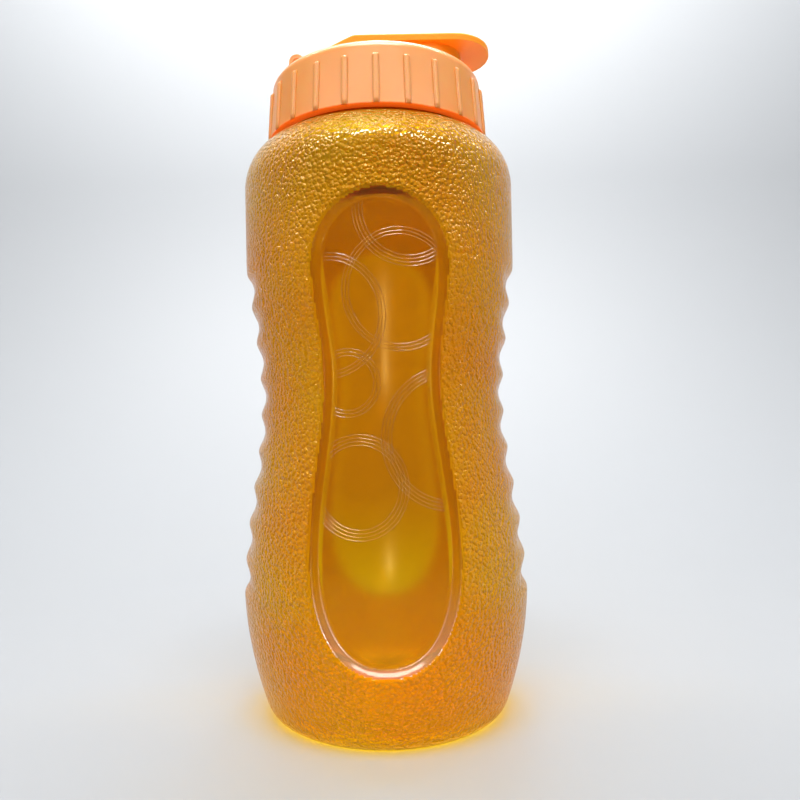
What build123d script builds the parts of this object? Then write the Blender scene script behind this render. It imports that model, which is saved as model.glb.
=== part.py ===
"""Wide-mouth drinking bottle with a screw cap and a flip-up spout lid.

Every piece is modelled where it sits on the closed bottle, in millimetres: +Z up, the foot on
z = 0, the bottle's axis on Z. The flip lid is hinged at -X and its thumb tab points to +X.
"""

import os

from build123d import *

os.makedirs("parts", exist_ok=True)

# ---------------------------------------------------------------- bottle
wall = 1.6              # blow-moulded wall, the same in the body and the neck
foot_inner_r = 28.0     # the bottle rests on the ring between these two radii
foot_r = 36.0
push_up = 3.0           # rise of the base inside the foot ring
heel_r = 41.0
heel_z = 4.5
bulge_r = 47.7          # widest place, below the grip
bulge_z = 44.0
waist_r = 41.4          # narrowest place, where the hand holds it
waist_z = 104.0
upper_r = 45.0
body_h = 172.8          # foot to where the shoulder starts to turn in
band_h = 22.8           # straight band between the grip and the shoulder
shoulder_h = 16.0
neck_r = 31.6
neck_h = 17.2

# finger grips pressed into both sides
grip_count = 9
grip_low_z = 45.4
grip_pitch = 11.85
grip_depth = 1.8
grip_r = 6.5

# smooth sunk panels, front and back
panel_depth = 1.3
panel_low_z = 23.5
panel_belly_h = 33.5    # from the outline's lowest point up to its widest
panel_belly_w = 22.4    # half widths of the outline
panel_waist_w = 17.3
panel_waist_lift = 6.0  # above the body's own waist
panel_crown_w = 20.3
panel_crown_h = 20.0    # from the crown's widest point up to its top
panel_top_gap = 9.8     # panel to shoulder

# ---------------------------------------------------------------- screw thread
lead = 6.0
thread_root_w = 2.4
thread_crest_w = 1.0
thread_depth = 1.4
thread_bury = 0.3       # how far a thread is rooted in its wall
neck_thread_turns = 1.5
cap_thread_turns = 1.25
thread_start = 5.2      # the first thread, above the neck's foot
thread_play = 0.3       # axial gap between the two threads when closed
radial_play = 0.6       # thread crest to the opposite wall

# ---------------------------------------------------------------- cap
cap_gap = 0.9           # skirt to shoulder
cap_wall = 2.9          # skirt thickness at its open end
cap_draft = 1.4         # how much the skirt narrows towards the top
cap_edge_r = 3.4
deck_t = 2.2
seal_t = 1.4
seal_play = 0.1
seal_lap = 1.0          # how far the seal reaches past the neck's bore and wall
rib_count = 24
rib_w = 1.7
rib_h = 0.45
rib_stop = 5.6          # the ribs end this far below the deck

# spout
spout_inset = 18.3      # spout's axis to the edge of the deck
spout_r = 8.6
spout_wall = 2.4
spout_h = 5.5

# ---------------------------------------------------------------- flip lid
hinge_inset = 9.6       # pin to the edge of the deck
hinge_rise = 2.9        # pin centre above the deck
pin_r = 1.25
pin_play = 0.08
knuckle_r = 2.6
knuckle_w = 22.4
ear_t = 3.0
ear_r = 2.5
ear_play = 0.3          # lid knuckle to each ear
lid_rise = 12.2         # lid top above the deck
lid_t = 2.4
lid_half_w = 13.5
tab_overhang = 3.6      # thumb tab past the edge of the deck
lid_arm = 17.5          # from the pin to where the lid has its full width and height
lid_arm_neck = 8.5      # from the pin to where it starts to widen
hood_r = 12.0           # round hood that covers the spout
hood_wall = 1.6
hood_play = 0.4         # hood to deck
plug_play = 0.2         # plug to the spout's bore
plug_flange_r = 8.4
plug_flange_t = 1.6
plug_dip = 4.0          # how far the plug goes into the spout
peg_r = 2.5
peg_h = 3.0

# ---------------------------------------------------------------- sizes that follow
shoulder_z = body_h
upper_z = body_h - band_h
neck_z = body_h + shoulder_h
lip_z = neck_z + neck_h
bore_r = neck_r - wall
seal_z = lip_z + seal_play
deck_under_z = seal_z + seal_t + seal_play
deck_z = deck_under_z + deck_t
skirt_z = neck_z + cap_gap
cap_bore_r = neck_r + thread_depth + radial_play
cap_foot_r = cap_bore_r + cap_wall
cap_top_r = cap_foot_r - cap_draft
hinge_x = hinge_inset - cap_top_r
hinge_z = deck_z + hinge_rise
pin_hole_r = pin_r + pin_play
pin_len = knuckle_w + 2 * (ear_play + ear_t)
ear_y = knuckle_w / 2 + ear_play + ear_t / 2
spout_x = cap_top_r - spout_inset
spout_bore_r = spout_r - spout_wall
spout_top_z = deck_z + spout_h
lid_top_z = deck_z + lid_rise
lid_under_z = lid_top_z - lid_t
lid_reach = cap_top_r + tab_overhang
lid_neck_x = hinge_x + lid_arm_neck
lid_wide_x = hinge_x + lid_arm
panel_high_z = shoulder_z - panel_top_gap
panel_crown_z = panel_high_z - panel_crown_h
panel_belly_z = panel_low_z + panel_belly_h
panel_waist_z = waist_z + panel_waist_lift
grip_heights = [grip_low_z + i * grip_pitch for i in range(grip_count)]


def body_radius(z):
    """Radius of the grip zone's smooth outline, from the bulge through the waist to the top."""
    r0, z0, r1, z1 = bulge_r, bulge_z, waist_r, waist_z
    if z > waist_z:
        r0, z0, r1, z1 = waist_r, waist_z, upper_r, upper_z
    t = min(max((z - z0) / (z1 - z0), 0), 1)
    return r0 + (r1 - r0) * (3 * t**2 - 2 * t**3)


def ease(r0, z0, r1, z1):
    """A curve that leaves one radius and meets the next one upright at both ends."""
    return Bezier((r0, z0), (r0, z0 + (z1 - z0) / 3), (r1, z1 - (z1 - z0) / 3), (r1, z1))


def body_blank(inset):
    """The round bottle up to its lip, with every face moved in by inset."""
    heel_slope_r = heel_r - 2 * heel_z * (bulge_r - heel_r) / (bulge_z - heel_z)
    with BuildPart() as blank:
        with BuildSketch(Plane.XZ):
            with BuildLine():
                base = ThreePointArc(
                    (0, push_up + inset),
                    (foot_inner_r / 2, push_up * 0.75 + inset),
                    (foot_inner_r, inset),
                )
                foot = Line(base @ 1, (foot_r - inset, inset))
                heel = Bezier(
                    foot @ 1,
                    (heel_slope_r - inset, inset),
                    (heel_r - inset, heel_z + inset),
                )
                belly = Bezier(
                    heel @ 1,
                    (bulge_r - inset, (heel_z + bulge_z) / 2 + inset),
                    (bulge_r - inset, bulge_z),
                )
                low_grip = ease(bulge_r - inset, bulge_z, waist_r - inset, waist_z)
                high_grip = ease(waist_r - inset, waist_z, upper_r - inset, upper_z)
                side = Line(high_grip @ 1, (upper_r - inset, shoulder_z))
                EllipticalCenterArc(
                    (neck_r - inset, shoulder_z),
                    upper_r - neck_r,
                    neck_z - shoulder_z - inset,
                    start_angle=0,
                    arc_size=90,
                )
                neck = Line((neck_r - inset, neck_z - inset), (neck_r - inset, lip_z))
                Line(neck @ 1, (0, lip_z))
                Line((0, lip_z), base @ 0)
            make_face()
        revolve(axis=Axis.Z)
    return blank.part


def panel_cut(grow, inset):
    """What the two sunk panels take off a blank, for an outline grown and a floor sunk."""
    belly_w, waist_w, crown_w = panel_belly_w + grow, panel_waist_w + grow, panel_crown_w + grow
    with BuildPart() as cut:
        with BuildSketch(Plane.XZ):
            with BuildLine():
                EllipticalCenterArc(
                    (0, panel_belly_z), belly_w, panel_belly_z - panel_low_z + grow,
                    start_angle=270, arc_size=90,
                )
                ease(belly_w, panel_belly_z, waist_w, panel_waist_z)
                ease(waist_w, panel_waist_z, crown_w, panel_crown_z)
                EllipticalCenterArc(
                    (0, panel_crown_z), crown_w, panel_high_z - panel_crown_z + grow,
                    start_angle=0, arc_size=90,
                )
                Line((0, panel_low_z - grow), (0, panel_high_z + grow))
            make_face()
            mirror(about=Plane.YZ)
        extrude(amount=bulge_r * 1.2, both=True)
        add(body_blank(inset), mode=Mode.SUBTRACT)
    return cut.part


def grip_cut(grow):
    """The round bars that press the finger grips into both sides of a blank."""
    with BuildPart() as cut:
        for z in grip_heights:
            x = body_radius(z) - grip_depth + grip_r
            with Locations((x, 0, z), (-x, 0, z)):
                Cylinder(grip_r + grow, 2 * bulge_r, rotation=(90, 0, 0))
    return cut.part


def thread(wall_r, z, turns, inward):
    """A helical thread on a wall of radius wall_r, its first section centred on height z."""
    out = -1 if inward else 1
    flank = (thread_root_w - thread_crest_w) / 2 / thread_depth
    buried_w = thread_root_w + 2 * flank * thread_bury
    with BuildPart() as ridge:
        with BuildLine():
            path = Helix(lead, lead * turns, wall_r, center=(0, 0, z))
        with BuildSketch(Plane(path @ 0, x_dir=(1, 0, 0), z_dir=path % 0)):
            with BuildLine():
                Polyline(
                    (-out * thread_bury, -buried_w / 2),
                    (out * thread_depth, -thread_crest_w / 2),
                    (out * thread_depth, thread_crest_w / 2),
                    (-out * thread_bury, buried_w / 2),
                    close=True,
                )
            make_face()
        sweep(path=path, is_frenet=True)
    return ridge.part


# ---------------------------------------------------------------- bottle body
with BuildPart() as cavity:
    add(body_blank(wall))
    add(grip_cut(wall), mode=Mode.SUBTRACT)
    add(panel_cut(wall, panel_depth + wall), mode=Mode.SUBTRACT)

neck_thread_z = neck_z + thread_start
with BuildPart() as bottle_body:
    add(body_blank(0))
    add(grip_cut(0), mode=Mode.SUBTRACT)
    add(panel_cut(0, panel_depth), mode=Mode.SUBTRACT)
    add(cavity.part, mode=Mode.SUBTRACT)
    add(thread(neck_r, neck_thread_z, neck_thread_turns, inward=False))

# ---------------------------------------------------------------- seal ring
with BuildPart() as seal_ring:
    with BuildSketch(Plane.XY.offset(seal_z)):
        Circle(neck_r + seal_lap)
        Circle(bore_r - seal_lap, mode=Mode.SUBTRACT)
    extrude(amount=seal_t)

# ---------------------------------------------------------------- screw cap
with BuildPart() as rib:
    slope = cap_draft / (deck_z - skirt_z)
    rib_top_z = deck_z - rib_stop
    rib_foot_x = cap_foot_r + rib_h
    rib_top_x = rib_foot_x - slope * (rib_top_z - skirt_z)
    with BuildSketch(Plane.XZ):
        with BuildLine():
            Polyline(
                (cap_foot_r - cap_wall / 2, skirt_z),
                (rib_foot_x, skirt_z),
                (rib_top_x, rib_top_z),
                (cap_foot_r - cap_wall / 2, rib_top_z + 2 * rib_h),
                close=True,
            )
        make_face()
    extrude(amount=rib_w / 2, both=True)

with BuildPart() as screw_cap:
    with BuildSketch(Plane.XZ):
        with BuildLine():
            inside = Polyline(
                (cap_bore_r, skirt_z), (cap_bore_r, deck_under_z), (0, deck_under_z), (0, deck_z)
            )
            deck = Line(inside @ 1, (cap_top_r - cap_edge_r, deck_z))
            edge = RadiusArc(deck @ 1, (cap_top_r, deck_z - cap_edge_r), cap_edge_r)
            skirt = Line(edge @ 1, (cap_foot_r, skirt_z))
            Line(skirt @ 1, inside @ 0)
        make_face()
    revolve(axis=Axis.Z)
    with PolarLocations(0, rib_count):
        add(rib.part)
    # hinge ears
    with BuildSketch(Plane.XZ) as ear_outline:
        with Locations((hinge_x, hinge_z)):
            Circle(ear_r)
        with Locations((hinge_x, hinge_z - hinge_rise / 2 - deck_t / 4)):
            Rectangle(2 * ear_r, hinge_rise + deck_t / 2)
    for side in (-1, 1):
        with Locations((0, side * ear_y, 0)):
            add(extrude(ear_outline.sketch, amount=ear_t / 2, both=True, mode=Mode.PRIVATE))
    with Locations((hinge_x, 0, hinge_z)):
        Cylinder(pin_r, pin_len + 2, rotation=(90, 0, 0), mode=Mode.SUBTRACT)
    # spout
    with Locations((spout_x, 0, deck_z)):
        Cylinder(spout_r, spout_h, align=(Align.CENTER, Align.CENTER, Align.MIN))
    fillet(faces().filter_by(GeomType.PLANE).sort_by(Axis.Z)[-1].edges(), spout_wall / 4)
    with Locations((spout_x, 0, deck_under_z)):
        Cylinder(
            spout_bore_r, deck_t + spout_h, mode=Mode.SUBTRACT,
            align=(Align.CENTER, Align.CENTER, Align.MIN),
        )
    cap_thread_drop = (thread_root_w + thread_crest_w) / 2 + thread_play
    add(thread(cap_bore_r, neck_thread_z - cap_thread_drop, cap_thread_turns, inward=True))

# ---------------------------------------------------------------- hinge pin
with BuildPart() as hinge_pin:
    with Locations((hinge_x, 0, hinge_z)):
        Cylinder(pin_r, pin_len, rotation=(90, 0, 0))
    chamfer(edges().filter_by(GeomType.CIRCLE), pin_r / 4)

# ---------------------------------------------------------------- flip lid
with BuildPart() as flip_lid:
    # side view: plate, slope down to the hinge
    with BuildSketch(Plane.XZ):
        with BuildLine():
            Polyline(
                (lid_reach, lid_top_z),
                (lid_wide_x + lid_t, lid_top_z),
                (hinge_x, hinge_z + knuckle_r),
                (hinge_x, hinge_z),
                (hinge_x + knuckle_r, hinge_z),
                (lid_wide_x + 2 * lid_t, lid_under_z),
                (lid_reach, lid_under_z),
                close=True,
            )
        make_face()
    extrude(amount=lid_half_w, both=True)
    # top view
    with BuildSketch(Plane.XY.offset(hinge_z - knuckle_r)):
        with BuildLine():
            near = Polyline(
                (hinge_x - knuckle_r, -knuckle_w / 2),
                (lid_neck_x, -knuckle_w / 2),
                (lid_wide_x, -lid_half_w),
                (lid_reach - lid_half_w, -lid_half_w),
            )
            tip = ThreePointArc(
                near @ 1, (lid_reach, 0), (lid_reach - lid_half_w, lid_half_w)
            )
            far = Polyline(
                tip @ 1,
                (lid_wide_x, lid_half_w),
                (lid_neck_x, knuckle_w / 2),
                (hinge_x - knuckle_r, knuckle_w / 2),
            )
            Line(far @ 1, near @ 0)
        make_face()
    extrude(amount=lid_top_z - hinge_z + knuckle_r, mode=Mode.INTERSECT)
    fillet(faces().sort_by(Axis.Z)[-1].edges(), lid_t / 3)
    with Locations((hinge_x, 0, hinge_z)):
        Cylinder(knuckle_r, knuckle_w, rotation=(90, 0, 0))
        Cylinder(pin_hole_r, knuckle_w, rotation=(90, 0, 0), mode=Mode.SUBTRACT)
    # hood over the spout, and the peg that holds the plug
    with BuildSketch(Plane.XY.offset(lid_under_z)):
        with Locations((spout_x, 0)):
            Circle(hood_r)
            Circle(hood_r - hood_wall, mode=Mode.SUBTRACT)
    extrude(amount=-(lid_under_z - deck_z - hood_play))
    with Locations((spout_x, 0, lid_under_z)):
        Cylinder(peg_r, peg_h, align=(Align.CENTER, Align.CENTER, Align.MAX))

# ---------------------------------------------------------------- spout plug
with BuildPart() as spout_plug:
    with Locations((spout_x, 0, lid_under_z)):
        Cylinder(plug_flange_r, plug_flange_t, align=(Align.CENTER, Align.CENTER, Align.MAX))
    plug_low_z = spout_top_z - plug_dip
    with Locations((spout_x, 0, plug_low_z)):
        Cylinder(
            spout_bore_r - plug_play, lid_under_z - plug_low_z,
            align=(Align.CENTER, Align.CENTER, Align.MIN),
        )
    fillet(edges().sort_by(Axis.Z)[0], spout_bore_r / 5)
    with Locations((spout_x, 0, lid_under_z)):
        Cylinder(peg_r, peg_h, mode=Mode.SUBTRACT, align=(Align.CENTER, Align.CENTER, Align.MAX))

# ---------------------------------------------------------------- hand over
bottle_body.part.label = "bottle_body"
export_step(bottle_body.part, "parts/bottle_body.step")
seal_ring.part.label = "seal_ring"
export_step(seal_ring.part, "parts/seal_ring.step")
screw_cap.part.label = "screw_cap"
export_step(screw_cap.part, "parts/screw_cap.step")
hinge_pin.part.label = "hinge_pin"
export_step(hinge_pin.part, "parts/hinge_pin.step")
flip_lid.part.label = "flip_lid"
export_step(flip_lid.part, "parts/flip_lid.step")
spout_plug.part.label = "spout_plug"
export_step(spout_plug.part, "parts/spout_plug.step")

for piece in (bottle_body, seal_ring, screw_cap, hinge_pin, flip_lid, spout_plug):
    size = piece.part.bounding_box().size
    print(
        f"{piece.part.label:12s} solids {len(piece.part.solids())}"
        f"  volume {piece.part.volume / 1000:8.2f} cm3"
        f"  size {size.X:.1f} x {size.Y:.1f} x {size.Z:.1f}"
    )
print(f"inside of the bottle {cavity.part.volume / 1e6:.3f} litre")
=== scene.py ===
"""A drinking bottle with a screw cap and a flip lid: its finishes, light and camera.

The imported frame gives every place. Lengths in this file are in metres.
"""

import math

import bpy
import numpy as np
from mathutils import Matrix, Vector


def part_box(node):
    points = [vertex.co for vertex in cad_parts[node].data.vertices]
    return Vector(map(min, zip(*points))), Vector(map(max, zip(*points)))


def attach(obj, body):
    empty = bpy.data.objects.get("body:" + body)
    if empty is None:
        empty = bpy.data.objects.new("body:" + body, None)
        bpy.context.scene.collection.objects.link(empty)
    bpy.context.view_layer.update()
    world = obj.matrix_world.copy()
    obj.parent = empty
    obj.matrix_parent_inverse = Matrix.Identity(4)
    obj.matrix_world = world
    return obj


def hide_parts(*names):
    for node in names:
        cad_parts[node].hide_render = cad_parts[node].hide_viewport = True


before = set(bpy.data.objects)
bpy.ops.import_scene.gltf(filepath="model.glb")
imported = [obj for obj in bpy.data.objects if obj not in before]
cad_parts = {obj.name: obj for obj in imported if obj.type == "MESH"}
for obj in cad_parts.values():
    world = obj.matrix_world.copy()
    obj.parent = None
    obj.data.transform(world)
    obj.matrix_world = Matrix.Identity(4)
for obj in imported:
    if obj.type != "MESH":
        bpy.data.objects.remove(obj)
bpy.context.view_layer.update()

MM = 0.001

# ------------------------------------------------------------------ the shell's sizes
WALL = 1.6 * MM
FOOT_INNER_R, FOOT_R = 28.0 * MM, 36.0 * MM
PUSH_UP = 3.0 * MM
HEEL_R, HEEL_Z = 41.0 * MM, 4.5 * MM
BULGE_R, BULGE_Z = 47.7 * MM, 44.0 * MM
WAIST_R, WAIST_Z = 41.4 * MM, 104.0 * MM
UPPER_R, UPPER_Z = 45.0 * MM, 150.0 * MM
SHOULDER_Z = 172.8 * MM
NECK_R, NECK_Z = 31.6 * MM, 188.8 * MM
LIP_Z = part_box("bottle_body")[1].z

GRIP_COUNT = 9
GRIP_LOW_Z = 45.4 * MM
GRIP_PITCH = 11.85 * MM
GRIP_DEPTH = 2.0 * MM
GRIP_CREST_DROP = 0.5 * MM      # the ridges between the grooves lie this far under the skin
GRIP_FULL, GRIP_END = math.radians(12), math.radians(36)
GRIP_SHARPNESS = 0.8            # under 1 the grooves widen and the ridges narrow

PANEL_DEPTH = 1.9 * MM
PANEL_BEVEL = 3.0 * MM
BEVEL_ROUND = 0.25              # share of the bevel's width that is rounded at each edge
PANEL_LOW_Z, PANEL_HIGH_Z = 23.5 * MM, 163.0 * MM
PANEL_BELLY_W, PANEL_BELLY_Z = 22.4 * MM, 57.0 * MM
PANEL_WAIST_W, PANEL_WAIST_Z = 17.3 * MM, 110.0 * MM
PANEL_CROWN_W, PANEL_CROWN_Z = 20.3 * MM, 143.0 * MM
PANEL_LOW_FULL = 2.3            # how full the panel's lower end is; 2 would be half an ellipse

# ------------------------------------------------------------------ where the shell's finishes change
SKIN_EDGE = 0.5 * MM                                # the pebbles stop this far outside a panel
SKIN_FADE = 0.7 * MM
FOOT_SMOOTH_Z, FOOT_FADE = 1.0 * MM, 3.0 * MM       # the foot's ring is smooth below, then fades in
POLISH_FADE = 0.5 * MM
POLISH_START = 0.3 * MM
POLISH_LOW_Z, POLISH_HIGH_Z = 30.0 * MM, 52.0 * MM  # the bevel's polish fades out between these
GLINT_LOW_Z, GLINT_HIGH_Z = 160.0 * MM, 180.0 * MM  # the shoulder glints more than the sides
PAINTED_PALE_LOW_Z, PAINTED_PALE_HIGH_Z = 22.0 * MM, 78.0 * MM      # painted paler towards the foot, for the brighter light seen through the lower bottle
FOOT_CLEAR_Z = 8.0 * MM

# ------------------------------------------------------------------ the shell's mesh
OUTER_ROW, INNER_ROW = 0.6 * MM, 1.6 * MM           # spacing of the rows up the wall
PANEL_COLUMNS, SIDE_COLUMNS = 112, 120              # columns across each panel and each side
PANEL_REACH = math.radians(34)                      # half the angle of the fine columns

# ------------------------------------------------------------------ thread and cap
THREAD_LEAD = 6.0 * MM
THREAD_TURNS = 1.5
THREAD_Z = NECK_Z + 5.2 * MM
THREAD_DEPTH = 1.4 * MM
THREAD_ROOT_W, THREAD_CREST_W = 2.4 * MM, 1.0 * MM
THREAD_BURY = 0.3 * MM
THREAD_STEPS = 150                                  # steps in a turn

SKIRT_Z, DECK_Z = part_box("screw_cap")[0].z, 209.8 * MM
SKIRT_FOOT_R, SKIRT_TOP_R = 36.5 * MM, 35.1 * MM
RIB_COUNT = 24
RIB_TOP_Z = DECK_Z - 5.0 * MM
RIB_HALF_W, RIB_H = 1.05 * MM, 0.72 * MM
RIB_BURY = 0.4 * MM
RIB_FOOT = 0.9                                      # a rib is this much narrower at its very foot
RIB_TIP = 0.12                                      # and this share of its width is left at its tip
LIP_W, LIP_OUT = 2.8 * MM, 0.04 * MM
LIP_DROP, LIP_RISE, LIP_ROUND = 0.12 * MM, 0.25 * MM, 0.25 * MM


# ------------------------------------------------------------------ small helpers
def smoothstep(x):
    x = np.clip(x, 0, 1)
    return x * x * (3 - 2 * x)


def chamfer(x):
    """A straight ramp from 0 to 1 with rounded ends."""
    x, r = np.clip(x, 0, 1), BEVEL_ROUND
    low = np.minimum(x, 1 - x)
    ramp = np.where(low < r, low**2 / (2 * r), low - r / 2) / (1 - r)
    return np.where(x < 0.5, ramp, 1 - ramp)


def body_radius(z):
    """Radius of the smooth grip zone: bulge, waist and the straight upper band."""
    low = BULGE_R + (WAIST_R - BULGE_R) * smoothstep((z - BULGE_Z) / (WAIST_Z - BULGE_Z))
    high = WAIST_R + (UPPER_R - WAIST_R) * smoothstep((z - WAIST_Z) / (UPPER_Z - WAIST_Z))
    return np.where(z < WAIST_Z, low, high)


def quadratic(p0, p1, p2, count):
    """Points along the curve from p0 to p2 that leans towards p1."""
    t = np.linspace(0, 1, count)[:, None]
    return (1 - t) ** 2 * np.array(p0) + 2 * t * (1 - t) * np.array(p1) + t**2 * np.array(p2)


def resample(line, spacing):
    """The same line with points an even distance apart."""
    steps = np.linalg.norm(np.diff(line, axis=0), axis=1)
    along = np.concatenate([[0], np.cumsum(steps)])
    even = np.linspace(0, along[-1], max(2, int(along[-1] / spacing) + 1))
    return np.stack([np.interp(even, along, line[:, 0]), np.interp(even, along, line[:, 1])], 1)


def new_object(name, verts, faces):
    mesh = bpy.data.meshes.new(name)
    mesh.from_pydata(np.asarray(verts).tolist(), [], [list(map(int, f)) for f in faces])
    mesh.polygons.foreach_set("use_smooth", [True] * len(mesh.polygons))
    mesh.update()
    piece = bpy.data.objects.new(name, mesh)
    bpy.context.collection.objects.link(piece)
    return piece


def add_mask(piece, name, values):
    """A value from 0 to 1 at each point of a piece, which its material reads by name."""
    layer = piece.data.attributes.new(name, "FLOAT", "POINT")
    layer.data.foreach_set("value", values.astype(np.float32))


def grid_faces(rows, columns, start=0, flip=False):
    """Quads of a grid that closes round its columns."""
    i, j = np.meshgrid(np.arange(rows - 1), np.arange(columns), indexing="ij")
    a = start + i * columns + j
    b = start + i * columns + (j + 1) % columns
    c = b + columns
    d = a + columns
    quads = np.stack([a, b, c, d], -1).reshape(-1, 4)
    return quads[:, ::-1] if flip else quads


# ------------------------------------------------------------------ the shell's shape
def shell_profile(inset):
    """Radius and height from the middle of the base to the lip, moved in by inset."""
    slope_r = HEEL_R - 2 * HEEL_Z * (BULGE_R - HEEL_R) / (BULGE_Z - HEEL_Z)
    dome = np.linspace(0, 1, 24)[:, None]
    base = np.hstack([dome * FOOT_INNER_R, PUSH_UP * (1 - dome**2) ** 2 + inset])
    heel = quadratic(
        (FOOT_R - inset, inset), (slope_r - inset, inset), (HEEL_R - inset, HEEL_Z + inset), 24
    )
    belly = quadratic(
        heel[-1],
        (BULGE_R - inset, (HEEL_Z + BULGE_Z) / 2 + inset),
        (BULGE_R - inset, BULGE_Z),
        60,
    )
    z = np.linspace(BULGE_Z, UPPER_Z, 200)[1:]
    grip = np.stack([body_radius(z) - inset, z], 1)
    turn = np.linspace(0, math.pi / 2, 60)
    shoulder = np.stack(
        [
            NECK_R - inset + (UPPER_R - NECK_R) * np.cos(turn),
            SHOULDER_Z + (NECK_Z - SHOULDER_Z - inset) * np.sin(turn),
        ],
        1,
    )
    neck = np.array([(NECK_R - inset, LIP_Z)])
    return np.vstack([base, heel, belly[1:], grip, shoulder, neck])


def grip_sink(azimuth, z):
    """How far the finger grips sink the skin, at an azimuth measured from +X."""
    from_side = np.abs((azimuth + math.pi / 2) % math.pi - math.pi / 2)
    fade = 1 - smoothstep((from_side - GRIP_FULL) / (GRIP_END - GRIP_FULL))
    turns = (z - GRIP_LOW_Z) / GRIP_PITCH
    groove = (0.5 + 0.5 * np.cos(2 * math.pi * turns)) ** GRIP_SHARPNESS
    inside = smoothstep((turns + 0.5) * 4) * smoothstep((GRIP_COUNT - 0.5 - turns) * 4)
    return fade * inside * (GRIP_CREST_DROP + (GRIP_DEPTH - GRIP_CREST_DROP) * groove)


def panel_outline():
    """A panel's right half and its mirror image, as one closed line of (x, z)."""
    turn = np.linspace(-math.pi / 2, 0, 60)
    full = 2 / PANEL_LOW_FULL
    low = np.stack(
        [
            PANEL_BELLY_W * np.cos(turn) ** full,
            PANEL_BELLY_Z - (PANEL_BELLY_Z - PANEL_LOW_Z) * (-np.sin(turn)) ** full,
        ],
        1,
    )
    z = np.linspace(PANEL_BELLY_Z, PANEL_CROWN_Z, 120)[1:-1]
    to_waist = smoothstep((z - PANEL_BELLY_Z) / (PANEL_WAIST_Z - PANEL_BELLY_Z))
    to_crown = smoothstep((z - PANEL_WAIST_Z) / (PANEL_CROWN_Z - PANEL_WAIST_Z))
    w = (
        PANEL_BELLY_W
        + (PANEL_WAIST_W - PANEL_BELLY_W) * to_waist
        + (PANEL_CROWN_W - PANEL_WAIST_W) * to_crown
    )
    turn = np.linspace(0, math.pi / 2, 40)
    high = np.stack(
        [
            PANEL_CROWN_W * np.cos(turn),
            PANEL_CROWN_Z + (PANEL_HIGH_Z - PANEL_CROWN_Z) * np.sin(turn),
        ],
        1,
    )
    right = np.vstack([low, np.stack([w, z], 1), high])
    left = right[::-1][1:-1] * (-1, 1)
    return np.vstack([right, left])


OUTLINE = panel_outline()
FAR_OUT = -1.0                  # stands for a point that is nowhere near a panel


def panel_inside(x, z):
    """Distance from each point to the panel's outline, positive inside it."""
    result = np.full(x.shape, FAR_OUT)
    close = np.abs(x) < PANEL_BELLY_W + PANEL_BEVEL
    close &= (z > PANEL_LOW_Z - PANEL_BEVEL) & (z < PANEL_HIGH_Z + PANEL_BEVEL)
    x, z = x[close], z[close]
    a, b = OUTLINE, np.roll(OUTLINE, -1, axis=0)
    near = np.full(x.size, -FAR_OUT)
    crossed = np.zeros(x.size, bool)
    for (ax, az), (bx, bz) in zip(a, b):
        ex, ez = bx - ax, bz - az
        t = np.clip(((x - ax) * ex + (z - az) * ez) / (ex * ex + ez * ez), 0, 1)
        near = np.minimum(near, np.hypot(x - ax - t * ex, z - az - t * ez))
        if az != bz:
            crossed ^= ((az > z) != (bz > z)) & (x < ax + (z - az) * ex / ez)
    result[close] = np.where(crossed, near, -near)
    return result


def skin_radius(radius, azimuth, z):
    """The skin's real radius, with grips and panels, and how far each point is inside a panel."""
    inside = panel_inside(radius * np.cos(azimuth), z)
    panel = chamfer(inside / PANEL_BEVEL)
    return radius - PANEL_DEPTH * panel - grip_sink(azimuth, z), inside


def columns_round():
    """Azimuths round the bottle, closer together across the two panels."""
    parts = []
    for middle in (math.pi / 2, 3 * math.pi / 2):
        begin, end = middle - PANEL_REACH, middle + PANEL_REACH
        parts.append(np.linspace(begin, end, PANEL_COLUMNS, endpoint=False))
        parts.append(np.linspace(end, begin + math.pi, SIDE_COLUMNS, endpoint=False))
    return np.concatenate(parts)


def make_shell():
    """The closed amber shell: outside, lip and inside."""
    azimuth = columns_round()
    columns = len(azimuth)
    verts, sunk, faces = [], [], []

    def lay_wall(profile, inset, flip):
        """One side of the wall, from the pole of its base to its lip; gives its first lip point."""
        rows = profile[1:]
        r = np.repeat(rows[:, :1], columns, 1)
        z = np.repeat(rows[:, 1:], columns, 1)
        a = np.repeat(azimuth[None, :], len(rows), 0)
        skin, inside = skin_radius(r + inset, a, z)
        side = (z > HEEL_Z) & (z < NECK_Z)
        r = np.where(side, skin - inset, r)
        start = len(verts)
        verts.extend(np.stack([r * np.cos(a), r * np.sin(a), z], -1).reshape(-1, 3))
        sunk.extend(np.where(side, inside, FAR_OUT).ravel())
        faces.extend(grid_faces(len(rows), columns, start, flip))
        pole = len(verts)
        verts.append((0, 0, profile[0, 1]))
        sunk.append(FAR_OUT)
        for j in range(columns):
            here, after = start + j, start + (j + 1) % columns
            faces.append((pole, here, after) if flip else (pole, after, here))
        return start + (len(rows) - 1) * columns

    outer_lip = lay_wall(resample(shell_profile(0), OUTER_ROW), 0, flip=False)
    outer_verts = len(verts)
    inner_lip = lay_wall(resample(shell_profile(WALL), INNER_ROW), WALL, flip=True)
    for j in range(columns):
        k = (j + 1) % columns
        faces.append((outer_lip + j, outer_lip + k, inner_lip + k, inner_lip + j))

    shell = new_object("bottle_shell", verts, faces)
    finish_shell(shell, faces, np.array(sunk), np.array([v[2] for v in verts]), outer_verts)
    return shell


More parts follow.
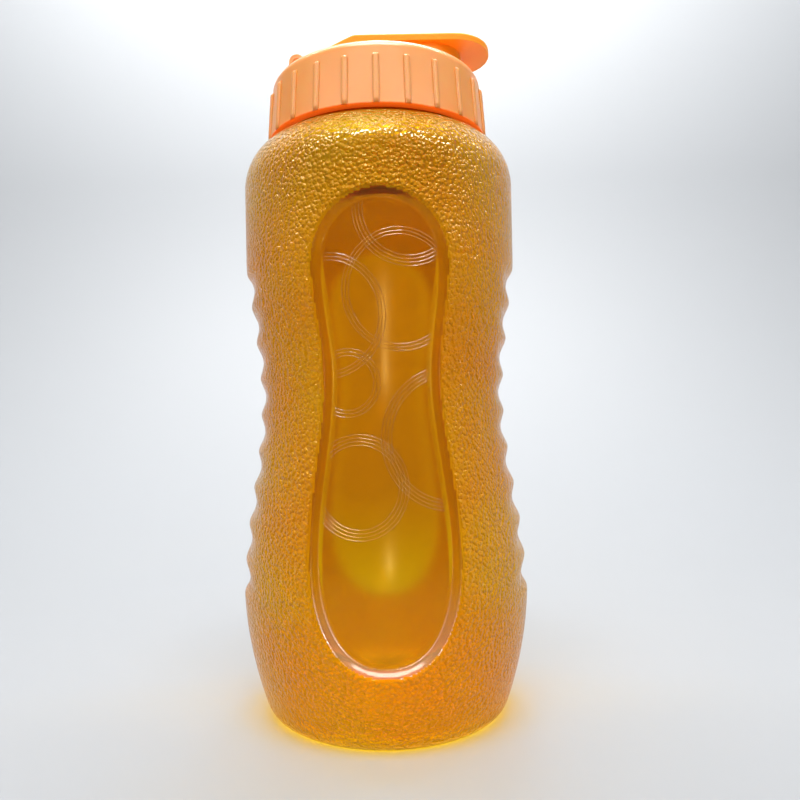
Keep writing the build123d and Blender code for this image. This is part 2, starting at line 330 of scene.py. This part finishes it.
def finish_shell(shell, faces, sunk, height, outer_verts):
    """Lay the finishes over the shell; sunk is how far each point is inside a panel."""
    # the pebbled skin is all of the outside except the panels, the neck and the foot's ring
    pebbled = 1 - smoothstep((sunk + SKIN_EDGE) / SKIN_FADE)
    pebbled *= height < NECK_Z - SKIN_EDGE
    pebbled *= smoothstep((height - FOOT_SMOOTH_Z) / FOOT_FADE)
    pebbled[outer_verts:] = 0
    glinting = pebbled * smoothstep((height - GLINT_LOW_Z) / (GLINT_HIGH_Z - GLINT_LOW_Z))
    polished = smoothstep((sunk + POLISH_START) / POLISH_FADE)
    polished *= smoothstep((PANEL_BEVEL - sunk) / POLISH_FADE)
    polished *= 1 - smoothstep((height - POLISH_LOW_Z) / (POLISH_HIGH_Z - POLISH_LOW_Z))
    # painted light: the clear amber is painted paler towards the foot, for the brighter light seen
    # through the lower bottle
    painted_pale = 1 - smoothstep((height - PAINTED_PALE_LOW_Z) / (PAINTED_PALE_HIGH_Z - PAINTED_PALE_LOW_Z))
    add_mask(shell, "pebbled", pebbled)
    add_mask(shell, "glinting", glinting)
    add_mask(shell, "polished", polished)
    add_mask(shell, "painted_pale", painted_pale)

    for material in (amber_plain, amber_pebbled, amber_bevel):
        shell.data.materials.append(material)
    plain, skin, bevel = 0, 1, 2
    corners = [list(f) for f in faces]
    is_skin = np.array([max(pebbled[c]) > 0.01 for c in corners])
    middle = np.array([np.mean(sunk[c]) for c in corners])
    outside = np.array([c[0] < outer_verts for c in corners])
    is_foot = np.array([height[c[0]] < FOOT_CLEAR_Z for c in corners])
    is_bevel = outside & (middle > -POLISH_START) & (middle < PANEL_BEVEL)
    finish = np.where(is_skin, skin, np.where(is_bevel | is_foot, bevel, plain))
    shell.data.polygons.foreach_set("material_index", finish)


# rings moulded on the panels: centre (x, z), outer radius, number of lines
RINGS = (
    ((8.6 * MM, 157.0 * MM), 16.5 * MM, 4),
    ((6.0 * MM, 134.0 * MM), 17.5 * MM, 3),
    ((-16.5 * MM, 127.0 * MM), 18.0 * MM, 3),
    ((-10.5 * MM, 107.5 * MM), 10.0 * MM, 3),
    ((20.5 * MM, 91.0 * MM), 21.0 * MM, 4),
    ((-7.5 * MM, 77.5 * MM), 15.0 * MM, 4),
)
RING_GAP = 1.0 * MM
RING_MARGIN = 2.6 * MM          # a ring's line stops this far inside the panel's outline
RING_STEP = 0.6 * MM
RING_EASE = 4                   # steps over which the end of a line sinks away
RING_W = 0.24 * MM
FRONT_RING_H, BACK_RING_H = 0.12 * MM, 0.09 * MM


def ring_runs():
    """Each unbroken run of ring line that lies on a panel's floor: x, z and direction round it."""
    for (cx, cz), outer_r, lines in RINGS:
        for line in range(lines):
            ring_r = outer_r - line * RING_GAP
            count = int(2 * math.pi * ring_r / RING_STEP)
            turn = np.linspace(0, 2 * math.pi, count, endpoint=False)
            x, z = cx + ring_r * np.cos(turn), cz + ring_r * np.sin(turn)
            keep = panel_inside(x, z) > RING_MARGIN
            if keep.all():
                yield np.append(x, x[:1]), np.append(z, z[:1]), np.append(turn, 2 * math.pi)
                continue
            first = int(np.argmin(keep))
            order = (first + np.arange(count)) % count
            edges = np.flatnonzero(np.diff(np.concatenate([[0], keep[order], [0]]).astype(int)))
            for begin, end in zip(edges[::2], edges[1::2]):
                if end - begin > RING_EASE + 1:
                    run = order[begin:end]
                    yield x[run], z[run], turn[run]


def make_rings(name, side, height):
    """Thin raised lines in rings, each a low rounded strip; side is -1 in front, 1 behind."""
    sides = 6
    across = np.linspace(0, 2 * math.pi, sides, endpoint=False)
    xs, zs, rises, faces, start = [], [], [], [], 0
    for x, z, turn in ring_runs():
        count = len(x)
        ends = np.minimum(np.arange(count), np.arange(count)[::-1])
        ease = np.clip(ends / RING_EASE + 0.2, 0, 1)[:, None]
        half = RING_W / 2 * ease
        xs.append((x[:, None] + half * np.cos(across) * np.cos(turn)[:, None]).ravel())
        zs.append((z[:, None] + half * np.cos(across) * np.sin(turn)[:, None]).ravel())
        rises.append((height * ease * np.sin(across)).ravel())
        faces.append(grid_faces(count, sides, start, flip=side > 0))
        start += count * sides
    x, z, rise = np.concatenate(xs), np.concatenate(zs), np.concatenate(rises)
    smooth_r = profile_radius(z)
    azimuth = np.arccos(np.clip(x / smooth_r, -1, 1))
    r = skin_radius(smooth_r, azimuth, z)[0] + rise
    verts = np.stack([r * np.cos(azimuth), side * r * np.sin(azimuth), z], 1)
    return new_object(name, verts, np.concatenate(faces))


PROFILE = shell_profile(0)


def profile_radius(z):
    """The smooth skin's radius at a height between heel and shoulder."""
    side = (PROFILE[:, 1] > HEEL_Z) & (PROFILE[:, 0] > NECK_R * 1.02)
    return np.interp(z, PROFILE[side, 1], PROFILE[side, 0])


def make_neck_thread():
    """The neck's helical thread, tapering out at both ends."""
    steps = int(THREAD_STEPS * THREAD_TURNS)
    shoulder = THREAD_DEPTH * 0.85
    section = np.array(
        [
            (-THREAD_BURY, -THREAD_ROOT_W / 2),
            (0.0, -THREAD_ROOT_W / 2),
            (shoulder, -THREAD_CREST_W / 2),
            (THREAD_DEPTH, 0.0),
            (shoulder, THREAD_CREST_W / 2),
            (0.0, THREAD_ROOT_W / 2),
            (-THREAD_BURY, THREAD_ROOT_W / 2),
        ]
    )
    t = np.linspace(0, 1, steps + 1)[:, None]
    a = 2 * math.pi * THREAD_TURNS * t
    taper = smoothstep(np.minimum(t, 1 - t) * 14)
    r = NECK_R + np.where(section[:, 0] > 0, section[:, 0] * taper, section[:, 0])
    z = THREAD_Z + THREAD_LEAD * THREAD_TURNS * t + section[:, 1] * (0.4 + 0.6 * taper)
    verts = np.stack([r * np.cos(a), r * np.sin(a), z], -1).reshape(-1, 3)
    n = len(section)
    faces = grid_faces(steps + 1, n).tolist()
    faces.append(list(range(n)))
    faces.append([steps * n + s for s in reversed(range(n))])
    return new_object("neck_thread", verts, faces)


def make_grip_ribs():
    """Rounded beads down the cap's skirt, each over one of its ribs."""
    lean = (SKIRT_FOOT_R - SKIRT_TOP_R) / (DECK_Z - SKIRT_Z)
    arc = np.linspace(0, math.pi, 11)
    side = np.concatenate([RIB_HALF_W * np.cos(arc), [-RIB_HALF_W * 0.8, RIB_HALF_W * 0.8]])
    rise = np.concatenate([RIB_H * np.sin(arc), [-RIB_BURY, -RIB_BURY]])
    straight = np.linspace(SKIRT_Z, RIB_TOP_Z - RIB_HALF_W, 12)
    rounded = RIB_TOP_Z - RIB_HALF_W * np.cos(np.linspace(0.2, math.pi / 2, 7))
    z = np.concatenate([straight, rounded])
    to_top = np.clip((RIB_TOP_Z - z) / RIB_HALF_W, 0, 1)
    full = np.maximum(np.sqrt(1 - (1 - to_top) ** 2), RIB_TIP)[:, None]
    full[0] *= RIB_FOOT
    wall_r = (SKIRT_FOOT_R - lean * (z - SKIRT_Z))[:, None]
    out = wall_r + np.where(rise > 0, rise * full, rise)
    across = side * full
    rows, n = out.shape
    verts, faces = [], []
    for k in range(RIB_COUNT):
        a = 2 * math.pi * k / RIB_COUNT
        start = len(verts)
        x = out * math.cos(a) - across * math.sin(a)
        y = out * math.sin(a) + across * math.cos(a)
        verts.extend(np.stack([x, y, np.repeat(z[:, None], n, 1)], -1).reshape(-1, 3))
        faces.extend(grid_faces(rows, n, start).tolist())
        faces.append([start + i for i in reversed(range(n))])
        faces.append([start + (rows - 1) * n + i for i in range(n)])
    return new_object("grip_ribs", verts, faces)


def make_skirt_lip():
    """The thin lower edge of the cap's skirt, which carries a painted red-orange glow standing in for
    light leaking through the orange plastic.
    """
    inner, outer = SKIRT_FOOT_R - LIP_W, SKIRT_FOOT_R + LIP_OUT
    line = [
        (inner, LIP_RISE),
        (inner, -LIP_DROP),
        (outer - LIP_ROUND, -LIP_DROP),
        (outer, 0.8 * LIP_ROUND - LIP_DROP),
        (outer, LIP_RISE),
    ]
    turn = np.linspace(0, 2 * math.pi, 192, endpoint=False)
    columns = len(turn)
    verts = [(r * math.cos(a), r * math.sin(a), SKIRT_Z + z) for r, z in line for a in turn]
    faces = grid_faces(len(line), columns).tolist()
    last = (len(line) - 1) * columns
    faces += [(last + j, last + (j + 1) % columns, (j + 1) % columns, j) for j in range(columns)]
    return new_object("skirt_lip", verts, faces)


# ------------------------------------------------------------------ materials
PEBBLE_SIZE, PEBBLE_WANDER = 1.15 * MM, 0.5
PEBBLE_SOFTNESS = 0.22          # how much neighbouring pebbles run together
PEBBLE_EDGE = 0.85              # share of a pebble's size at which its valley is deepest
PEBBLE_DOME = 1.8               # 2 would be round, more is flatter on top
PEBBLE_RELIEF = 0.78 * MM
PATCH_SCALE = 28                # patches of warmer amber, to the metre
CLOUD_SCALE, GRAIN_SCALE = 60, 1800
GRAIN_RELIEF, GRAIN_STRENGTH = 0.05 * MM, 0.25

AMBER = (0.715, 0.405, 0.003)
# the clear amber's colour painted paler towards the foot, standing in for brighter light seen through
# it
AMBER_PAINTED_PALE = (0.87, 0.67, 0.004)
AMBER_EDGE = (0.90, 0.66, 0.01)
AMBER_LINE = (0.97, 0.88, 0.20)
AMBER_SKIN = (0.94, 0.53, 0.003)
AMBER_SKIN_WARM = (0.99, 0.42, 0.003)
AMBER_GLOSS = (1.0, 0.78, 0.30)
SKIN_GLOSS = (1.0, 0.74, 0.10)
AMBER_LIGHT = (0.97, 0.85, 0.06)     # what each face leaves of a lamp's light
SKIN_CLEARNESS = 0.66
POLISH_IOR, POLISH_ROUGHNESS = 2.7, 0.14
SIDE_ROUGHNESS, SHOULDER_ROUGHNESS = 0.09, 0.035
LIGHT_DEPTH, LIGHT_REACH = 3 * MM, (1.0, 0.30, 0.08)    # how far light runs under the orange


def node(tree, kind, place=(0, 0), **values):
    """A new node at a place in a node tree, with its settings."""
    made = tree.nodes.new(kind)
    made.location = place
    for key, value in values.items():
        setattr(made, key, value)
    return made


def new_material(name):
    material = bpy.data.materials.new(name)
    material.use_nodes = True
    return material, material.node_tree, material.node_tree.nodes["Principled BSDF"]


def new_group(name, inputs, outputs):
    """An empty node group with its sockets, and the nodes for what it takes and gives."""
    group = bpy.data.node_groups.new(name, "ShaderNodeTree")
    for label, kind, value in inputs:
        socket = group.interface.new_socket(label, in_out="INPUT", socket_type=kind)
        socket.default_value = value
    for label, kind in outputs:
        group.interface.new_socket(label, in_out="OUTPUT", socket_type=kind)
    taken = node(group, "NodeGroupInput", (-900, 0))
    given = node(group, "NodeGroupOutput", (600, 0))
    return group, taken, given


def pebble_group():
    """Rounded pebbles with fine valleys between them, as a height from 0 to 1."""
    group, taken, given = new_group(
        "pebbles",
        [("Size", "NodeSocketFloat", PEBBLE_SIZE), ("Wander", "NodeSocketFloat", PEBBLE_WANDER)],
        [("Height", "NodeSocketFloat")],
    )
    where = node(group, "ShaderNodeTexCoord", (-1100, -200))
    per_metre = node(group, "ShaderNodeMath", (-700, 100), operation="DIVIDE")
    per_metre.inputs[0].default_value = 1.0
    group.links.new(taken.outputs["Size"], per_metre.inputs[1])
    wander = node(group, "ShaderNodeTexNoise", (-700, -200))
    wander.inputs["Detail"].default_value = 1.0
    group.links.new(where.outputs["Object"], wander.inputs["Vector"])
    group.links.new(per_metre.outputs[0], wander.inputs["Scale"])
    pull = node(group, "ShaderNodeVectorMath", (-500, -200), operation="MULTIPLY_ADD")
    size_wander = node(group, "ShaderNodeMath", (-700, -50), operation="MULTIPLY")
    group.links.new(taken.outputs["Size"], size_wander.inputs[0])
    group.links.new(taken.outputs["Wander"], size_wander.inputs[1])
    group.links.new(wander.outputs["Color"], pull.inputs[0])
    group.links.new(size_wander.outputs[0], pull.inputs[1])
    group.links.new(where.outputs["Object"], pull.inputs[2])
    cells = node(group, "ShaderNodeTexVoronoi", (-250, 0), feature="SMOOTH_F1")
    cells.inputs["Smoothness"].default_value = PEBBLE_SOFTNESS
    group.links.new(pull.outputs[0], cells.inputs["Vector"])
    group.links.new(per_metre.outputs[0], cells.inputs["Scale"])
    out = node(group, "ShaderNodeMapRange", (-50, 0))
    out.inputs["From Max"].default_value = PEBBLE_EDGE
    group.links.new(cells.outputs["Distance"], out.inputs["Value"])
    dome = node(group, "ShaderNodeMath", (150, 0), operation="POWER")
    dome.inputs[1].default_value = PEBBLE_DOME
    group.links.new(out.outputs["Result"], dome.inputs[0])
    height = node(group, "ShaderNodeMath", (350, 0), operation="SUBTRACT")
    height.inputs[0].default_value = 1.0
    group.links.new(dome.outputs[0], height.inputs[1])
    group.links.new(height.outputs[0], given.inputs["Height"])
    return group


def moulding_group():
    """What moulding leaves on plastic: faint clouds in its colour and a fine grain."""
    group, taken, given = new_group(
        "moulding",
        [
            ("Cloud Scale", "NodeSocketFloat", CLOUD_SCALE),
            ("Grain Scale", "NodeSocketFloat", GRAIN_SCALE),
        ],
        [("Clouds", "NodeSocketFloat"), ("Grain", "NodeSocketFloat")],
    )
    where = node(group, "ShaderNodeTexCoord", (-900, -200))
    clouds = node(group, "ShaderNodeTexNoise", (-400, 150))
    clouds.inputs["Detail"].default_value = 3
    group.links.new(where.outputs["Object"], clouds.inputs["Vector"])
    group.links.new(taken.outputs["Cloud Scale"], clouds.inputs["Scale"])
    group.links.new(clouds.outputs["Fac"], given.inputs["Clouds"])
    grain = node(group, "ShaderNodeTexNoise", (-400, -250))
    grain.inputs["Detail"].default_value = 2
    group.links.new(where.outputs["Object"], grain.inputs["Vector"])
    group.links.new(taken.outputs["Grain Scale"], grain.inputs["Scale"])
    group.links.new(grain.outputs["Fac"], given.inputs["Grain"])
    return group


PEBBLES = pebble_group()
MOULDING = moulding_group()


def lets_lamps_through(tree, plastic):
    """Lamps shine through the tinted wall instead of being blocked by it."""
    clear = node(tree, "ShaderNodeBsdfTransparent", (0, -300))
    clear.inputs["Color"].default_value = (*AMBER_LIGHT, 1)
    ray = node(tree, "ShaderNodeLightPath", (0, 300))
    either = node(tree, "ShaderNodeMixShader", (300, 0))
    tree.links.new(ray.outputs["Is Shadow Ray"], either.inputs["Fac"])
    tree.links.new(plastic.outputs[0], either.inputs[1])
    tree.links.new(clear.outputs[0], either.inputs[2])
    tree.links.new(either.outputs[0], tree.nodes["Material Output"].inputs["Surface"])


def amber_clear(name, tint, roughness=0.12, ior=1.4, polish=None, painted_pale_tint=None):
    """Smooth clear amber plastic.

    polish names the mask of its polished part; the other tint is its colour painted paler towards the
    foot, standing in for brighter light seen through the bottle there.
    """
    material, tree, plastic = new_material(name)
    plastic.inputs["Base Color"].default_value = (*tint, 1)
    # painted light: paler amber towards the foot, standing in for the brighter light seen through the
    # lower bottle
    if painted_pale_tint:
        painted_pale = node(tree, "ShaderNodeAttribute", (-600, 300), attribute_name="painted_pale")
        tone = node(tree, "ShaderNodeMix", (-300, 300), data_type="RGBA")
        tone.inputs["A"].default_value = (*tint, 1)
        tone.inputs["B"].default_value = (*painted_pale_tint, 1)
        tree.links.new(painted_pale.outputs["Fac"], tone.inputs["Factor"])
        tree.links.new(tone.outputs["Result"], plastic.inputs["Base Color"])
    plastic.inputs["IOR"].default_value = ior
    plastic.inputs["Transmission Weight"].default_value = 1.0
    plastic.inputs["Specular Tint"].default_value = (*AMBER_GLOSS, 1)
    plastic.inputs["Roughness"].default_value = roughness
    if polish:
        mask = node(tree, "ShaderNodeAttribute", (-400, -100), attribute_name=polish)
        tree.links.new(mask.outputs["Fac"], plastic.inputs["Coat Weight"])
        plastic.inputs["Coat IOR"].default_value = POLISH_IOR
        plastic.inputs["Coat Roughness"].default_value = POLISH_ROUGHNESS
    lets_lamps_through(tree, plastic)
    return material


def amber_skin(name):
    """Cloudy amber plastic with patches of a warmer tone, and pebbles where the mesh says so."""
    material, tree, plastic = new_material(name)
    where = node(tree, "ShaderNodeTexCoord", (-1100, 300))
    patches = node(tree, "ShaderNodeTexNoise", (-900, 300))
    patches.inputs["Scale"].default_value = PATCH_SCALE
    patches.inputs["Detail"].default_value = 2
    tree.links.new(where.outputs["Object"], patches.inputs["Vector"])
    spread = node(tree, "ShaderNodeMapRange", (-700, 300))
    spread.inputs["From Min"].default_value = 0.35
    spread.inputs["From Max"].default_value = 0.65
    tree.links.new(patches.outputs["Fac"], spread.inputs["Value"])
    tone = node(tree, "ShaderNodeMix", (-500, 300), data_type="RGBA")
    tone.inputs["A"].default_value = (*AMBER_SKIN, 1)
    tone.inputs["B"].default_value = (*AMBER_SKIN_WARM, 1)
    tree.links.new(spread.outputs["Result"], tone.inputs["Factor"])
    tree.links.new(tone.outputs["Result"], plastic.inputs["Base Color"])
    plastic.inputs["IOR"].default_value = 1.46
    plastic.inputs["Transmission Weight"].default_value = SKIN_CLEARNESS
    plastic.inputs["Specular Tint"].default_value = (*SKIN_GLOSS, 1)
    pebbled = node(tree, "ShaderNodeAttribute", (-900, -100), attribute_name="pebbled")
    pebbles = node(tree, "ShaderNodeGroup", (-900, -300), node_tree=PEBBLES)
    masked = node(tree, "ShaderNodeMath", (-650, -200), operation="MULTIPLY")
    tree.links.new(pebbled.outputs["Fac"], masked.inputs[0])
    tree.links.new(pebbles.outputs["Height"], masked.inputs[1])
    bump = node(tree, "ShaderNodeBump", (-400, -250))
    bump.inputs["Strength"].default_value = 1.0
    bump.inputs["Distance"].default_value = PEBBLE_RELIEF
    tree.links.new(masked.outputs[0], bump.inputs["Height"])
    tree.links.new(bump.outputs["Normal"], plastic.inputs["Normal"])
    glinting = node(tree, "ShaderNodeAttribute", (-650, 50), attribute_name="glinting")
    dull = node(tree, "ShaderNodeMapRange", (-400, 50))
    dull.inputs["To Min"].default_value = SIDE_ROUGHNESS
    dull.inputs["To Max"].default_value = SHOULDER_ROUGHNESS
    tree.links.new(glinting.outputs["Fac"], dull.inputs["Value"])
    tree.links.new(dull.outputs["Result"], plastic.inputs["Roughness"])
    lets_lamps_through(tree, plastic)
    return material


def moulded_plastic(name, colour, shade, roughness, shine=0.5, glow=None):
    """Satin moulded plastic; glow is the colour and strength of a painted emission glow, standing in
    for light that leaks through it.
    """
    material, tree, plastic = new_material(name)
    moulding = node(tree, "ShaderNodeGroup", (-850, 0), node_tree=MOULDING)
    mix = node(tree, "ShaderNodeMix", (-500, 150), data_type="RGBA")
    mix.inputs["A"].default_value = (*shade, 1)
    mix.inputs["B"].default_value = (*colour, 1)
    tree.links.new(moulding.outputs["Clouds"], mix.inputs["Factor"])
    tree.links.new(mix.outputs["Result"], plastic.inputs["Base Color"])
    plastic.inputs["Roughness"].default_value = roughness
    plastic.inputs["Subsurface Weight"].default_value = 0.55
    plastic.inputs["Subsurface Radius"].default_value = LIGHT_REACH
    plastic.inputs["Subsurface Scale"].default_value = LIGHT_DEPTH
    plastic.inputs["Specular IOR Level"].default_value = shine
    bump = node(tree, "ShaderNodeBump", (-300, -250))
    bump.inputs["Strength"].default_value = GRAIN_STRENGTH
    bump.inputs["Distance"].default_value = GRAIN_RELIEF
    tree.links.new(moulding.outputs["Grain"], bump.inputs["Height"])
    tree.links.new(bump.outputs["Normal"], plastic.inputs["Normal"])
    if glow:
        glow_colour, strength = glow
        plastic.inputs["Emission Color"].default_value = (*glow_colour, 1)
        plastic.inputs["Emission Strength"].default_value = strength
    return material


def paint(piece, material):
    """Give a whole piece one material."""
    piece.data.materials.clear()
    piece.data.materials.append(material)


# ------------------------------------------------------------------ build
amber_pebbled = amber_skin("amber_pebbled")
amber_plain = amber_clear("amber_plain", AMBER, 0.18, painted_pale_tint=AMBER_PAINTED_PALE)
amber_bevel = amber_clear("amber_bevel", AMBER_EDGE, polish="polished")
amber_line = amber_clear("amber_line", AMBER_LINE, ior=1.42)
orange = moulded_plastic("orange_cap", (1.0, 0.38, 0.10), (0.98, 0.33, 0.055), 0.30, 0.75)
# painted light: the lip's red-orange tone and faint emission glow stand in for light leaking through
# the skirt's thin edge
orange_edge_painted_glow = moulded_plastic(
    "orange_edge_painted_glow", (1.0, 0.20, 0.01), (0.95, 0.15, 0.01), 0.45, 0.3, glow=((1.0, 0.14, 0.01), 0.45)
)
orange_lid = moulded_plastic("orange_lid", (1.0, 0.38, 0.014), (0.98, 0.33, 0.008), 0.40, 0.25)
soft = moulded_plastic("soft_seal", (0.80, 0.76, 0.68), (0.74, 0.70, 0.62), 0.6)

shell = make_shell()
front_rings = make_rings("front_rings", -1, FRONT_RING_H)
back_rings = make_rings("back_rings", 1, BACK_RING_H)
paint(front_rings, amber_line)
paint(back_rings, amber_line)
neck_thread = make_neck_thread()
paint(neck_thread, amber_plain)
for piece in (shell, front_rings, back_rings, neck_thread):
    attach(piece, "bottle")
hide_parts("bottle_body")

ribs = make_grip_ribs()
lip = make_skirt_lip()
paint(ribs, orange)
# the lip carries the painted red-orange glow of the skirt's edge
paint(lip, orange_edge_painted_glow)
for piece in (ribs, lip):
    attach(piece, "cap")

for name, material in (
    ("screw_cap", orange), ("hinge_pin", orange), ("flip_lid", orange_lid),
    ("seal_ring", soft), ("spout_plug", soft),
):
    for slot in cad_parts[name].material_slots:
        slot.material = material


# ------------------------------------------------------------------ stage, light and camera
STAGE_FRONT, STAGE_BACK = -2.5, 0.50
STAGE_WIDTH, STAGE_TOP = 5.0, 1.2
COVE_R, COVE_STEPS = 0.34, 16
STAGE_COLOUR = (0.375, 0.387, 0.401)

ROOM_LOW, ROOM_HIGH = 0.28, 0.60        # the room's light level with the bottle, and overhead
ROOM_SEEN = 0.78
ROOM_COLOUR = (0.95, 0.97, 1.0)

EYE_HEIGHT, EYE_DISTANCE = 99.5 * MM, 245.9 * MM
FOCAL_IN_FRAMES = 715 / 800             # focal length as a share of the frame's width
FRAME_SHIFT = (0.0218, 0.0125)
EYE_ROLL = math.radians(1.155)

ARCH_OUT, ARCH_SIZE, ARCH_POWER = 0.62, (0.65, 0.13), 0.7
ARCHES = (("left", -42, 0.50), ("middle", 0, 0.62), ("right", 42, 0.50))
LAMPS = (
    ("front", (0.055, -0.90, 0.07), (0, 0, 0.1), (0.20, 0.16), 0.10, "ELLIPSE"),
    ("front_core", (0.045, -0.90, 0.05), (0, 0, 0.1), (0.03, 0.03), 0.14, "ELLIPSE"),
    ("top", (0, -0.22, 0.90), (0, 0, 0.15), (0.42, 0.22), 5.4, "RECTANGLE"),
    ("wall_wash", (0, 0.18, 0.85), (0, 0.50, 0.45), (0.9, 0.12), 7.8, "RECTANGLE"),
    ("back", (0.05, 0.33, 0.70), (0, -0.04, 0.03), (0.16, 0.1), 0.75, "RECTANGLE"),
)


def make_stage():
    """A pale floor that turns up into a pale wall behind the bottle."""
    line = [(STAGE_FRONT, 0.0), (STAGE_BACK - COVE_R, 0.0)]
    for i in range(1, COVE_STEPS + 1):
        a = math.pi / 2 * i / COVE_STEPS
        line.append((STAGE_BACK - COVE_R + COVE_R * math.sin(a), COVE_R - COVE_R * math.cos(a)))
    line.append((STAGE_BACK, STAGE_TOP))
    verts = [(x, y, z) for y, z in line for x in (-STAGE_WIDTH / 2, STAGE_WIDTH / 2)]
    faces = [(2 * i, 2 * i + 1, 2 * i + 3, 2 * i + 2) for i in range(len(line) - 1)]
    stage = new_object("stage", verts, faces)
    material, tree, surface = new_material("pale_floor")
    surface.inputs["Base Color"].default_value = (*STAGE_COLOUR, 1)
    surface.inputs["Roughness"].default_value = 0.55
    paint(stage, material)


def hang_lamp(name, at, towards, size, power, shape):
    """A soft lamp that shines from one place towards another and isn't seen itself."""
    light = bpy.data.lights.new(name, "AREA")
    light.shape = shape
    light.size, light.size_y = size
    light.energy = power
    place = bpy.data.objects.new(name, light)
    bpy.context.collection.objects.link(place)
    place.location = at
    place.visible_camera = False
    place.rotation_euler = (Vector(towards) - Vector(at)).to_track_quat("-Z", "Y").to_euler()


def hang_lamps():
    """Three lamps in an arch in front of the bottle, and the single ones."""
    for side, azimuth, up in ARCHES:
        turn = math.radians(azimuth)
        at = (ARCH_OUT * math.sin(turn), -ARCH_OUT * math.cos(turn), up)
        hang_lamp("arch_" + side, at, (0, 0, 0.05), ARCH_SIZE, ARCH_POWER, "RECTANGLE")
    for name, at, towards, size, power, shape in LAMPS:
        hang_lamp(name, at, towards, size, power, shape)


def make_room():
    """A room that is bright above and darker round the sides and below."""
    world = bpy.data.worlds.new("room")
    bpy.context.scene.world = world
    world.use_nodes = True
    tree = world.node_tree
    background = tree.nodes["Background"]
    where = node(tree, "ShaderNodeTexCoord", (-900, 0))
    parts = node(tree, "ShaderNodeSeparateXYZ", (-700, 0))
    rise = node(tree, "ShaderNodeMapRange", (-500, 0), interpolation_type="SMOOTHSTEP")
    rise.inputs["From Min"].default_value = 0.0
    rise.inputs["From Max"].default_value = 0.9
    rise.inputs["To Min"].default_value = ROOM_LOW
    rise.inputs["To Max"].default_value = ROOM_HIGH
    tree.links.new(where.outputs["Generated"], parts.inputs[0])
    tree.links.new(parts.outputs["Z"], rise.inputs["Value"])
    # seen straight on or through the plastic, the room is as pale as the wall
    ray = node(tree, "ShaderNodeLightPath", (-700, -300))
    seen = node(tree, "ShaderNodeMath", (-500, -300), operation="MAXIMUM")
    tree.links.new(ray.outputs["Is Camera Ray"], seen.inputs[0])
    tree.links.new(ray.outputs["Is Transmission Ray"], seen.inputs[1])
    strength = node(tree, "ShaderNodeMix", (-250, 0), data_type="FLOAT")
    strength.inputs["B"].default_value = ROOM_SEEN
    tree.links.new(seen.outputs[0], strength.inputs["Factor"])
    tree.links.new(rise.outputs["Result"], strength.inputs["A"])
    tree.links.new(strength.outputs["Result"], background.inputs["Strength"])
    background.inputs["Color"].default_value = (*ROOM_COLOUR, 1)


def make_camera():
    """Level with the bottle's middle and close by."""
    data = bpy.data.cameras.new("camera")
    data.sensor_width = 36
    data.lens = data.sensor_width * FOCAL_IN_FRAMES
    data.shift_x, data.shift_y = FRAME_SHIFT
    data.clip_start = 0.01
    camera = bpy.data.objects.new("camera", data)
    bpy.context.collection.objects.link(camera)
    camera.location = (0, -EYE_DISTANCE, EYE_HEIGHT)
    camera.rotation_euler = (math.radians(90), EYE_ROLL, 0)
    bpy.context.scene.camera = camera


make_stage()
make_room()
hang_lamps()
make_camera()
bpy.context.scene.view_settings.view_transform = "Standard"
